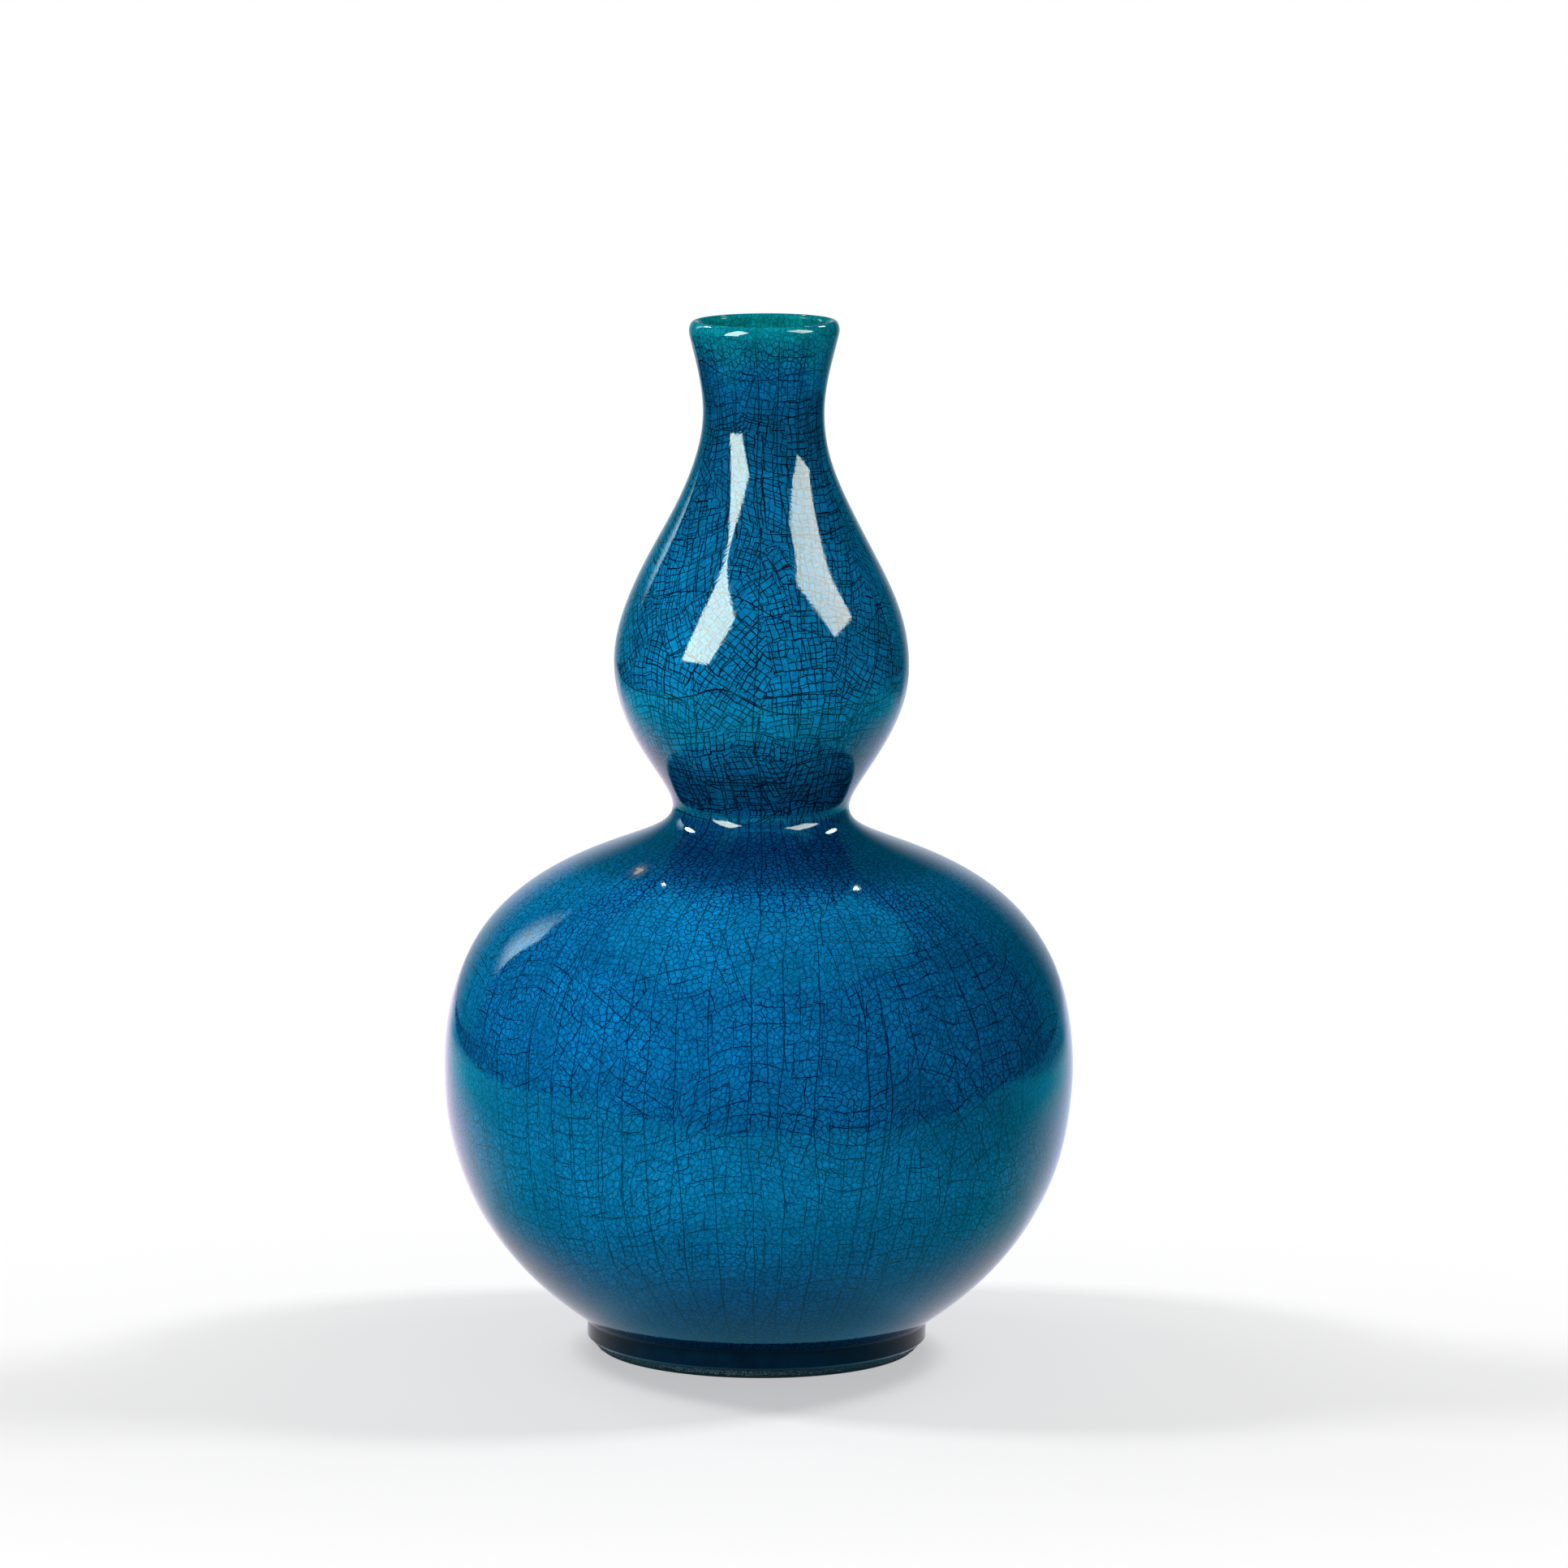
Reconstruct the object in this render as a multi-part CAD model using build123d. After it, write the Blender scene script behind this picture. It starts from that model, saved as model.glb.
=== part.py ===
from build123d import *
import math
import os

os.makedirs("parts", exist_ok=True)

# A double gourd vase in stoneware. All sizes are in millimetres, +Z is up, the foot stands on z = 0.
# The outline sizes are those of the glazed surface. Each rise is counted from the circle below it.

# Foot ring
FOOT_RADIUS = 49.3
FOOT_HEIGHT = 9.2
FOOT_BEVEL_IN = 2.4
FOOT_BEVEL_RISE = 3.5
FOOT_TREAD = 5.0
FOOT_TOP_WIDTH = 8.5
FOOT_EDGE_BREAK = 0.5

# Widest and narrowest circles of the body
FLARE_OUT = 2.2
FLARE_RISE = 0.83
FLARE_SLOPE = math.radians(34.6)
BELLY_RADIUS = 91.5
BELLY_RISE = 73.3
WAIST_RADIUS = 25.65
WAIST_RISE = 75.55
BULB_RADIUS = 42.65
BULB_RISE = 41.9
THROAT_RADIUS = 17.57
THROAT_RISE = 72.75
LIP_RADIUS = 21.8
LIP_RISE = 24.6
LIP_THICKNESS = 3.8

# Fullness of each stretch: how far the outline keeps its direction after one circle and before the next
LOWER_FULLNESS = (0.827, 0.331)
SHOULDER_FULLNESS = (0.886, 0.200)
BULB_FULLNESS = (0.182, 0.507)
NECK_FULLNESS = (0.354, 0.360)
COLLAR_FULLNESS = (0.425, 0.117)

# Layers
GLAZE = 0.6
WALL_AT_FOOT = 5.0
SLIP = 0.6
FLOOR_ROUND = 0.7
CRUST_LOW = 0.9
CRUST_LIP = 0.3
FILLET_REACH = 0.9

# Heights of the circles
junction_radius = FOOT_RADIUS + FLARE_OUT
junction_z = FOOT_HEIGHT + FLARE_RISE
belly_z = junction_z + BELLY_RISE
waist_z = belly_z + WAIST_RISE
bulb_z = waist_z + BULB_RISE
throat_z = bulb_z + THROAT_RISE
lip_z = throat_z + LIP_RISE
lip_round = LIP_THICKNESS / 2
lip_centre = LIP_RADIUS - lip_round
wall_at_lip = LIP_THICKNESS - 2 * GLAZE


def wall_at(z):
    """Clay thickness, thinning evenly from the foot to the lip."""
    share = (z - junction_z) / (lip_z - junction_z)
    return WALL_AT_FOOT + (wall_at_lip - WALL_AT_FOOT) * share


def upright_stretch(start, end, fullness):
    """Control points of a stretch that leaves and arrives upright."""
    rise = end[1] - start[1]
    leave = (start[0], start[1] + fullness[0] * rise)
    arrive = (end[0], end[1] - fullness[1] * rise)
    return [start, leave, arrive, end]


def lower_stretch():
    """Control points from the foot to the belly: leaves along the flare, arrives upright."""
    run = LOWER_FULLNESS[0] * (BELLY_RADIUS - junction_radius)
    leave = (junction_radius + run, junction_z + run * math.tan(FLARE_SLOPE))
    arrive = (BELLY_RADIUS, belly_z - LOWER_FULLNESS[1] * BELLY_RISE)
    return [(junction_radius, junction_z), leave, arrive, (BELLY_RADIUS, belly_z)]


belly = (BELLY_RADIUS, belly_z)
waist = (WAIST_RADIUS, waist_z)
bulb = (BULB_RADIUS, bulb_z)
throat = (THROAT_RADIUS, throat_z)
lip = (LIP_RADIUS, lip_z)
outline = [
    lower_stretch(),
    upright_stretch(belly, waist, SHOULDER_FULLNESS),
    upright_stretch(waist, bulb, BULB_FULLNESS),
    upright_stretch(bulb, throat, NECK_FULLNESS),
    upright_stretch(throat, lip, COLLAR_FULLNESS),
]


def crossing(point_a, dir_a, point_b, dir_b):
    """Where two straight lines in the section plane cross."""
    cross = dir_a[0] * dir_b[1] - dir_a[1] * dir_b[0]
    gap = (point_b[0] - point_a[0], point_b[1] - point_a[1])
    along = (gap[0] * dir_b[1] - gap[1] * dir_b[0]) / cross
    return (point_a[0] + along * dir_a[0], point_a[1] + along * dir_a[1])


def moved_in(stretch, depth_start, depth_end):
    """The stretch moved inward, by one depth at its start and another at its end."""
    depths = (depth_start, (depth_start + depth_end) / 2, depth_end)
    lines = []
    for (a, b), depth in zip(zip(stretch[:-1], stretch[1:]), depths):
        along = (b[0] - a[0], b[1] - a[1])
        length = math.hypot(*along)
        shift = (-along[1] / length * depth, along[0] / length * depth)
        lines.append(((a[0] + shift[0], a[1] + shift[1]), (b[0] + shift[0], b[1] + shift[1]), along))
    second = crossing(lines[0][0], lines[0][2], lines[1][0], lines[1][2])
    third = crossing(lines[1][0], lines[1][2], lines[2][0], lines[2][2])
    return [lines[0][0], second, third, lines[2][1]]


def layer(depth):
    """The whole outline moved inward; depth is a function of the height."""
    return [moved_in(s, depth(s[0][1]), depth(s[3][1])) for s in outline]


clay_outside = layer(lambda z: GLAZE)
clay_inside = layer(lambda z: GLAZE + wall_at(z))
lining_inside = layer(lambda z: 2 * GLAZE + wall_at(z))


def at(point):
    """A point of the section plane as a point in space."""
    return (point[0], 0, point[1])


def line(a, b):
    return Line(at(a), at(b))


def curve(points):
    return Bezier(*[at(p) for p in points])


def upward(stretches):
    return [curve(s) for s in stretches]


def downward(stretches):
    return [curve(s[::-1]) for s in stretches[::-1]]


def over_the_lip(radius):
    """Half circle from the outside of the lip, over its top, to the inside."""
    outer = (lip_centre + radius, lip_z)
    top = (lip_centre, lip_z + radius)
    inner = (lip_centre - radius, lip_z)
    return ThreePointArc(at(outer), at(top), at(inner))


def turned(edges):
    """Solid made by turning a closed section about the vase's axis."""
    return revolve(Face(Wire(edges)), Axis.Z)


def floor_curve(stretches):
    """From the foot of an inner layer, rounding into a flat floor that ends on the axis."""
    start = stretches[0][0]
    floor_z = start[1] - FLOOR_ROUND
    corner = (start[0] - FLOOR_ROUND / math.tan(FLARE_SLOPE), floor_z)
    return [start, corner, (0, floor_z)]


# Clay body, later parted at the joints
clay_start = clay_outside[0][0]
base_edge = (clay_start[0] - (clay_start[1] - FOOT_HEIGHT) / math.tan(FLARE_SLOPE), FOOT_HEIGHT)
clay_floor = floor_curve(clay_inside)
clay = turned(
    [line((0, FOOT_HEIGHT), base_edge), line(base_edge, clay_start)]
    + upward(clay_outside)
    + [over_the_lip(lip_round - GLAZE)]
    + downward(clay_inside)
    + [curve(clay_floor), line(clay_floor[-1], (0, FOOT_HEIGHT))]
)


def between(z_low, z_high):
    """The stretch of the clay body between two levels."""
    height = z_high - z_low
    slab = Cylinder(2 * BELLY_RADIUS, height, align=(Align.CENTER, Align.CENTER, Align.MIN))
    return (clay & Pos(0, 0, z_low) * slab).solid()


nodes = {}
joints = [("belly_slip", belly_z), ("waist_slip", waist_z), ("bulb_slip", bulb_z), ("neck_slip", throat_z)]
sections = ["lower_bowl", "shoulder_dome", "upper_bowl", "neck_cone", "mouth_collar"]
level = 0
for section, (slip, joint_z) in zip(sections, joints):
    nodes[section] = between(level, joint_z - SLIP / 2)
    nodes[slip] = between(joint_z - SLIP / 2, joint_z + SLIP / 2)
    level = joint_z + SLIP / 2
nodes[sections[-1]] = between(level, lip_z + LIP_THICKNESS)

# Foot ring, its slip joint and the glaze under the base
ring_wall = FOOT_RADIUS - GLAZE
ring_top = FOOT_HEIGHT - SLIP
ring_inside = ring_wall - FOOT_TOP_WIDTH
tread_outer = ring_wall - FOOT_BEVEL_IN
tread_inner = tread_outer - FOOT_TREAD
ring = turned([
    line((tread_inner + FOOT_EDGE_BREAK, 0), (tread_outer - FOOT_EDGE_BREAK, 0)),
    line((tread_outer - FOOT_EDGE_BREAK, 0), (tread_outer, FOOT_EDGE_BREAK)),
    line((tread_outer, FOOT_EDGE_BREAK), (ring_wall, FOOT_BEVEL_RISE)),
    line((ring_wall, FOOT_BEVEL_RISE), (ring_wall, ring_top)),
    line((ring_wall, ring_top), (ring_inside, ring_top)),
    line((ring_inside, ring_top), (tread_inner, FOOT_EDGE_BREAK)),
    line((tread_inner, FOOT_EDGE_BREAK), (tread_inner + FOOT_EDGE_BREAK, 0)),
])
nodes["foot_ring"] = ring.solid()
nodes["foot_slip"] = turned([
    line((ring_inside, ring_top), (ring_wall, ring_top)),
    line((ring_wall, ring_top), (ring_wall, FOOT_HEIGHT)),
    line((ring_wall, FOOT_HEIGHT), (ring_inside, FOOT_HEIGHT)),
    line((ring_inside, FOOT_HEIGHT), (ring_inside, ring_top)),
]).solid()
nodes["base_glaze"] = turned([
    line((0, FOOT_HEIGHT - GLAZE), (ring_inside, FOOT_HEIGHT - GLAZE)),
    line((ring_inside, FOOT_HEIGHT - GLAZE), (ring_inside, FOOT_HEIGHT)),
    line((ring_inside, FOOT_HEIGHT), (0, FOOT_HEIGHT)),
    line((0, FOOT_HEIGHT), (0, FOOT_HEIGHT - GLAZE)),
]).solid()

# Rough lower edge of the glaze on the bevel of the foot ring
bevel_run = (ring_wall - tread_outer) / (FOOT_BEVEL_RISE - FOOT_EDGE_BREAK)
crust_inner = tread_outer + bevel_run * (CRUST_LOW - FOOT_EDGE_BREAK)
nodes["glaze_edge"] = turned([
    line((crust_inner, CRUST_LOW), (crust_inner + CRUST_LIP, CRUST_LOW)),
    line((crust_inner + CRUST_LIP, CRUST_LOW), (FOOT_RADIUS, FOOT_BEVEL_RISE)),
    line((FOOT_RADIUS, FOOT_BEVEL_RISE), (ring_wall, FOOT_BEVEL_RISE)),
    line((ring_wall, FOOT_BEVEL_RISE), (crust_inner, CRUST_LOW)),
]).solid()

# Outer glaze: up the foot ring, pooled in the angle under the body, up the outline and over the lip
corner = (FOOT_RADIUS, junction_z - FLARE_OUT * math.tan(FLARE_SLOPE))
pool_low = (FOOT_RADIUS, corner[1] - FILLET_REACH)
pool_high = (corner[0] + FILLET_REACH * math.cos(FLARE_SLOPE), corner[1] + FILLET_REACH * math.sin(FLARE_SLOPE))
junction = (junction_radius, junction_z)
inside_lip_clay = (lip_centre - lip_round + GLAZE, lip_z)
inside_lip_face = (lip_centre - lip_round, lip_z)
lip_clay_back = ThreePointArc(
    at(inside_lip_clay), at((lip_centre, lip_z + lip_round - GLAZE)), at((lip_centre + lip_round - GLAZE, lip_z))
)
nodes["outer_glaze"] = turned(
    [line((FOOT_RADIUS, FOOT_BEVEL_RISE), pool_low), curve([pool_low, corner, pool_high]), line(pool_high, junction)]
    + upward(outline)
    + [over_the_lip(lip_round), line(inside_lip_face, inside_lip_clay), lip_clay_back]
    + downward(clay_outside)
    + [
        line(clay_start, base_edge),
        line(base_edge, (ring_wall, FOOT_HEIGHT)),
        line((ring_wall, FOOT_HEIGHT), (ring_wall, FOOT_BEVEL_RISE)),
        line((ring_wall, FOOT_BEVEL_RISE), (FOOT_RADIUS, FOOT_BEVEL_RISE)),
    ]
).solid()

# Inner glaze: the lining from inside the lip down over the floor
lining_floor = floor_curve(lining_inside)
nodes["inner_glaze"] = turned(
    [line((0, clay_floor[-1][1]), (0, lining_floor[-1][1])), curve(lining_floor[::-1])]
    + upward(lining_inside)
    + [line(inside_lip_face, inside_lip_clay)]
    + downward(clay_inside)
    + [curve(clay_floor)]
).solid()

for name, solid in nodes.items():
    solid.label = name
    export_step(solid, "parts/" + name + ".step")
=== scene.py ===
import math
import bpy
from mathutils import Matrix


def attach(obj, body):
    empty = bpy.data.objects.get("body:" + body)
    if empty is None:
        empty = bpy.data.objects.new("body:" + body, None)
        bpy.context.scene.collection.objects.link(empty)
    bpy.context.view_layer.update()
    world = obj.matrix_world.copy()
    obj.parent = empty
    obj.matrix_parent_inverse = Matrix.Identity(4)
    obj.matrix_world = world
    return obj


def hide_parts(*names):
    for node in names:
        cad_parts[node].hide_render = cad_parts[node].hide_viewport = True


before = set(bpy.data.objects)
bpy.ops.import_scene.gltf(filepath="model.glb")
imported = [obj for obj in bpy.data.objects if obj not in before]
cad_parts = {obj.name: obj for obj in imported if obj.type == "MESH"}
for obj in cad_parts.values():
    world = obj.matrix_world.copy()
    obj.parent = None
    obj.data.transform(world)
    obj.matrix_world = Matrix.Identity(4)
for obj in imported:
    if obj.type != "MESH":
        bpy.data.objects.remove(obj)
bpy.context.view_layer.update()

from types import SimpleNamespace

import bpy
from mathutils import Matrix, Vector

MM = 0.001

# Outline of the glazed vase in millimetres, as in the part
FOOT_RADIUS = 49.3
FOOT_HEIGHT = 9.2
FOOT_BEVEL_IN = 2.4
FOOT_BEVEL_RISE = 3.5
FOOT_EDGE_BREAK = 0.5
FLARE_OUT = 2.2
FLARE_RISE = 0.83
FLARE_SLOPE = math.radians(34.6)
BELLY_RADIUS = 91.5
BELLY_RISE = 73.3
WAIST_RADIUS = 25.65
WAIST_RISE = 75.55
BULB_RADIUS = 42.65
BULB_RISE = 41.9
THROAT_RADIUS = 17.57
THROAT_RISE = 72.75
LIP_RADIUS = 21.8
LIP_RISE = 24.6
LIP_THICKNESS = 3.8
LIP_OUTSIDE_RISE = 3.6
LIP_FULLNESS = (1.75, 1.35)
GLAZE = 0.6
WALL_AT_FOOT = 5.0
FLOOR_ROUND = 0.7
CRUST_LOW = 0.9
CRUST_THIN = 0.45
CRUST_GAP = 0.02
CRUST_WANDER = 0.05
CRUST_GRAIN = 0.10
CRUST_SINK = 0.18
CRUST_RAGGED = 0.14
FILLET_REACH = 0.9
NECK_OF_SHOULDER = 37.0
LOWER_FULLNESS = (0.827, 0.331)
SHOULDER_FULLNESS = (0.886, 0.200)
BULB_FULLNESS = (0.182, 0.507)
NECK_FULLNESS = (0.354, 0.360)
COLLAR_FULLNESS = (0.425, 0.117)

junction = (FOOT_RADIUS + FLARE_OUT, FOOT_HEIGHT + FLARE_RISE)
belly = (BELLY_RADIUS, junction[1] + BELLY_RISE)
waist = (WAIST_RADIUS, belly[1] + WAIST_RISE)
bulb = (BULB_RADIUS, waist[1] + BULB_RISE)
throat = (THROAT_RADIUS, bulb[1] + THROAT_RISE)
lip = (LIP_RADIUS, throat[1] + LIP_RISE)
lip_round = LIP_THICKNESS / 2
lip_centre = LIP_RADIUS - lip_round
wall_at_lip = LIP_THICKNESS - 2 * GLAZE

# How finely the turned meshes are divided
AROUND = 320
STRETCH_STEPS = 64
ARC_STEPS = 18
UNDER_ARC_STEPS = 6
RING_STEPS = 6
POOL_STEPS = 8
FLARE_STEPS = 3
FLOOR_STEPS = 12
CRUST_STEPS = 10
SHARP_ANGLE = math.radians(40.0)

# Unevenness of hand work in millimetres. A lobe has a depth, a number round the pot, a twist and a start.
LOBES = ((0.10, 2, 0.020, 0.6), (0.06, 3, -0.035, 2.1))
RIPPLE_DEPTH = 0.05
RIPPLE_PER_MM = 0.23
RIPPLE_SWAY = 1.5
DEEPEST_UNEVENNESS = 0.21
EVEN_BELOW = 14.0
EVEN_ABOVE = 290.0
EVEN_FADE = 30.0
TILT_FROM = 262.0
TILT_FADE = 34.0
TILT_SLOPE = 0.0110
TILT_DROP = 0.25


def clamp(value):
    return min(max(value, 0.0), 1.0)


def bezier(points, steps):
    """Points along a Bezier curve, without its last one."""
    order = len(points) - 1
    found = []
    for i in range(steps):
        t = i / steps
        weights = [math.comb(order, k) * t ** k * (1 - t) ** (order - k) for k in range(order + 1)]
        found.append(tuple(sum(w * p[axis] for w, p in zip(weights, points)) for axis in (0, 1)))
    return found


def upright(start, end, fullness):
    """Control points of a stretch that leaves and arrives upright."""
    rise = end[1] - start[1]
    return [start, (start[0], start[1] + fullness[0] * rise), (end[0], end[1] - fullness[1] * rise), end]


def body_outline():
    """Outer glaze surface from the foot junction to the outside of the lip."""
    run = LOWER_FULLNESS[0] * (belly[0] - junction[0])
    leave = (junction[0] + run, junction[1] + run * math.tan(FLARE_SLOPE))
    arrive = (belly[0], belly[1] - LOWER_FULLNESS[1] * (belly[1] - junction[1]))
    stretches = [
        [junction, leave, arrive, belly],
        upright(belly, waist, SHOULDER_FULLNESS),
        upright(waist, bulb, BULB_FULLNESS),
        upright(bulb, throat, NECK_FULLNESS),
        upright(throat, lip, COLLAR_FULLNESS),
    ]
    points = []
    for stretch in stretches:
        points += bezier(stretch, STRETCH_STEPS)
    return points + [lip]


def normals(points):
    """Outward unit normals along an outline that runs upward."""
    found = []
    for i in range(len(points)):
        a = points[max(i - 1, 0)]
        b = points[min(i + 1, len(points) - 1)]
        along = (b[0] - a[0], b[1] - a[1])
        length = math.hypot(*along)
        found.append((along[1] / length, -along[0] / length))
    return found


def moved(points, depth):
    """The outline moved inward by a depth that may depend on the height."""
    return [(p[0] - n[0] * depth(p[1]), p[1] - n[1] * depth(p[1])) for p, n in zip(points, normals(points))]


def wall_at(z):
    """Thickness of the clay at a height."""
    share = (z - junction[1]) / (lip[1] - junction[1])
    return WALL_AT_FOOT + (wall_at_lip - WALL_AT_FOOT) * share


def lip_arc(radius, start, end, steps):
    """Arc over the lip between two angles counted from the outside."""
    found = []
    for i in range(steps + 1):
        angle = start + (end - start) * i / steps
        found.append((lip_centre + radius * math.cos(angle), lip[1] + radius * math.sin(angle)))
    return found


def hand_made(x, y, z):
    """Small leanings of a hand-made pot, always inward or downward. In and out in millimetres."""
    turn = math.atan2(x, -y)
    radius = math.hypot(x, y)
    if radius < 1e-6:
        return x, y, z
    lobe = sum(depth * math.sin(number * turn + twist * z + start) for depth, number, twist, start in LOBES)
    ripple = RIPPLE_DEPTH * math.sin(RIPPLE_PER_MM * z + RIPPLE_SWAY * math.sin(turn))
    fade = clamp((z - EVEN_BELOW) / EVEN_FADE) * clamp((EVEN_ABOVE - z) / EVEN_FADE)
    drop = (lobe + ripple - DEEPEST_UNEVENNESS) * fade
    tilt = clamp((z - TILT_FROM) / TILT_FADE)
    return x * (1 + drop / radius), y * (1 + drop / radius), z + tilt * (TILT_SLOPE * x - TILT_DROP)


def turned(name, loop, materials, material_of=None, shape=hand_made, start=0.0):
    """Mesh made by turning a section about the axis. Sections on the axis close in a single point."""
    verts = []
    rings = []
    lengths = []
    walked = start
    for i, (r, z) in enumerate(loop):
        if i:
            walked += math.hypot(r - loop[i - 1][0], z - loop[i - 1][1])
        if r < 1e-6:
            rings.append([len(verts)] * AROUND)
            verts.append((0.0, 0.0, z * MM))
            lengths.append(walked)
            continue
        ring = []
        for k in range(AROUND):
            angle = 2 * math.pi * k / AROUND
            x, y, height = shape(r * math.cos(angle), r * math.sin(angle), z)
            ring.append(len(verts))
            verts.append((x * MM, y * MM, height * MM))
            lengths.append(walked)
        rings.append(ring)
    faces = []
    slots = []
    count = len(rings)
    for i in range(count):
        low, high = rings[i], rings[(i + 1) % count]
        slot_index = material_of(i) if material_of else 0
        for k in range(AROUND):
            n = (k + 1) % AROUND
            corners = [low[k], low[n], high[n], high[k]]
            face = [c for j, c in enumerate(corners) if c not in corners[:j]]
            if len(face) > 2:
                faces.append(face)
                slots.append(slot_index)
    mesh = bpy.data.meshes.new(name)
    mesh.from_pydata(verts, [], faces)
    for material in materials:
        mesh.materials.append(material)
    mesh.polygons.foreach_set("material_index", slots)
    mesh.polygons.foreach_set("use_smooth", [True] * len(faces))
    attribute = mesh.attributes.new("along", "FLOAT", "POINT")
    attribute.data.foreach_set("value", lengths)
    mesh.update()
    mesh.set_sharp_from_angle(angle=SHARP_ANGLE)
    piece = bpy.data.objects.new(name, mesh)
    bpy.context.scene.collection.objects.link(piece)
    return piece


class Tree:
    """Short names for building a node tree."""

    def __init__(self, owner):
        owner.use_nodes = True
        self.tree = owner.node_tree
        self.tree.nodes.clear()

    def node(self, kind, inputs=None, **settings):
        made = self.tree.nodes.new(kind)
        for key, value in settings.items():
            setattr(made, key, value)
        for key, value in (inputs or {}).items():
            self.feed(made.inputs[key], value)
        return made

    def feed(self, socket, value):
        if isinstance(value, bpy.types.NodeSocket):
            self.tree.links.new(value, socket)
        else:
            socket.default_value = value

    def math(self, operation, *values):
        made = self.tree.nodes.new("ShaderNodeMath")
        made.operation = operation
        for i, value in enumerate(values):
            self.feed(made.inputs[i], value)
        return made.outputs[0]

    def times(self, *values):
        """Product of all values."""
        product = values[0]
        for value in values[1:]:
            product = self.math("MULTIPLY", product, value)
        return product

    def plus(self, base, value, factor):
        """The base and a value times a factor."""
        return self.math("ADD", base, self.times(value, factor))

    def less(self, base, value, factor):
        """The base without a value times a factor."""
        return self.math("SUBTRACT", base, self.times(value, factor))

    def length(self, a, b):
        """Length of a line with these two sides."""
        return self.math("SQRT", self.plus(self.times(a, a), b, b))

    def vector(self, operation, *values):
        made = self.tree.nodes.new("ShaderNodeVectorMath")
        made.operation = operation
        for i, value in enumerate(values):
            if operation == "SCALE" and i == 1:
                self.feed(made.inputs["Scale"], value)
            else:
                self.feed(made.inputs[i], value)
        return made.outputs[0]

    def dot(self, a, b):
        return self.node("ShaderNodeVectorMath", {0: a, 1: b}, operation="DOT_PRODUCT").outputs["Value"]

    def split(self, vector):
        made = self.node("ShaderNodeSeparateXYZ", {0: vector})
        return made.outputs[0], made.outputs[1], made.outputs[2]

    def join(self, x, y, z=0.0):
        return self.node("ShaderNodeCombineXYZ", {0: x, 1: y, 2: z}).outputs[0]

    def place(self):
        """Place on the object, in metres."""
        return self.node("ShaderNodeTexCoord").outputs["Object"]

    def step(self, value, low, high, to_low=0.0, to_high=1.0):
        """Smooth change from one value to another."""
        made = self.node("ShaderNodeMapRange", interpolation_type="SMOOTHSTEP")
        for i, part in enumerate((value, low, high, to_low, to_high)):
            self.feed(made.inputs[i], part)
        return made.outputs[0]

    def mix(self, share, a, b, blend="MIX"):
        made = self.node("ShaderNodeMix", data_type="RGBA", blend_type=blend)
        self.feed(made.inputs[0], share)
        self.feed(made.inputs[6], a)
        self.feed(made.inputs[7], b)
        return made.outputs[2]

    def noise(self, vector, scale, detail=2.0, rough=0.5):
        inputs = {"Vector": vector, "Scale": scale, "Detail": detail, "Roughness": rough}
        made = self.node("ShaderNodeTexNoise", inputs)
        return made.outputs[0], made.outputs[1]

    def chance(self, a, b, c):
        """Three random numbers that depend on the three given."""
        made = self.node("ShaderNodeTexWhiteNoise", {"Vector": self.join(a, b, c)}, noise_dimensions="3D")
        return self.split(made.outputs["Color"])

    def ramp(self, value, stops):
        made = self.node("ShaderNodeValToRGB", {0: value})
        elements = made.color_ramp.elements
        while len(elements) < len(stops):
            elements.new(0.5)
        for element, (place, colour) in zip(elements, stops):
            element.position = place
            element.color = (*colour, 1.0)
        return made.outputs[0]

    def ray_kinds(self):
        """Whether the camera sees a place, and whether a mirror image shows it."""
        path = self.node("ShaderNodeLightPath")
        mirrored = self.math("MAXIMUM", path.outputs["Is Glossy Ray"], path.outputs["Is Transmission Ray"])
        return path.outputs["Is Camera Ray"], mirrored

    def finish(self, colour, rough, height, strength, depth, ior=1.5, tint=(1.0, 1.0, 1.0, 1.0)):
        """Surface with a bump of a depth in metres."""
        bump = self.node("ShaderNodeBump", {"Strength": strength, "Distance": depth, "Height": height})
        inputs = {"Base Color": colour, "Roughness": rough, "IOR": ior, "Specular Tint": tint}
        shader = self.node("ShaderNodeBsdfPrincipled", inputs)
        self.feed(shader.inputs["Normal"], bump.outputs[0])
        self.node("ShaderNodeOutputMaterial", {"Surface": shader.outputs[0]})


# Crackle of the glaze: sizes in millimetres, numbers of cracks round the pot, and bands of height
PATCH = 26.0
PATCH_DRIFT = 6.0
BLOCK = 7.5
BELLY_BLOCK = 4.9
SMALL_CELL = 1.80
SMALL_CELL_EXTRA = 0.30
PEBBLE = 1.90
CRUMB = 1.15
LONG_CRACKS = 20.0
BELLY_LONG_CRACKS = 60.0
RING_GAP = 19.0
RING_BEND = 34.0
CRACK_WIDTH = 0.160
SHOULDER_BAND = (122.0, 146.0)
WAIST_BAND = (150.0, 161.0)
UNDER_BULB_BAND = (172.0, 188.0)
COLLAR_BAND = (270.0, 290.0)
SMOOTH_BAND = (286.0, 295.0)
LIP_BAND = (292.0, 298.5)


def split_line(tree, value, size, randomness):
    """Irregular marks along a line: distance to the nearest mark, numbers that name this mark and the
    stretch between two marks, and a place inside the stretch."""
    places = {"W": tree.math("DIVIDE", value, size), "Scale": 1.0, "Randomness": randomness}
    near = tree.node("ShaderNodeTexVoronoi", places, voronoi_dimensions="1D", feature="F1")
    other = tree.node("ShaderNodeTexVoronoi", places, voronoi_dimensions="1D", feature="F2")
    gap = tree.math("SUBTRACT", other.outputs["Distance"], near.outputs["Distance"])
    distance = tree.times(gap, tree.times(size, 0.5))
    stretch = tree.split(near.outputs["Color"])[0]
    mark = tree.math("ADD", stretch, tree.split(other.outputs["Color"])[0])
    inside = tree.times(near.outputs["W"], size)
    return distance, mark, stretch, inside


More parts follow.
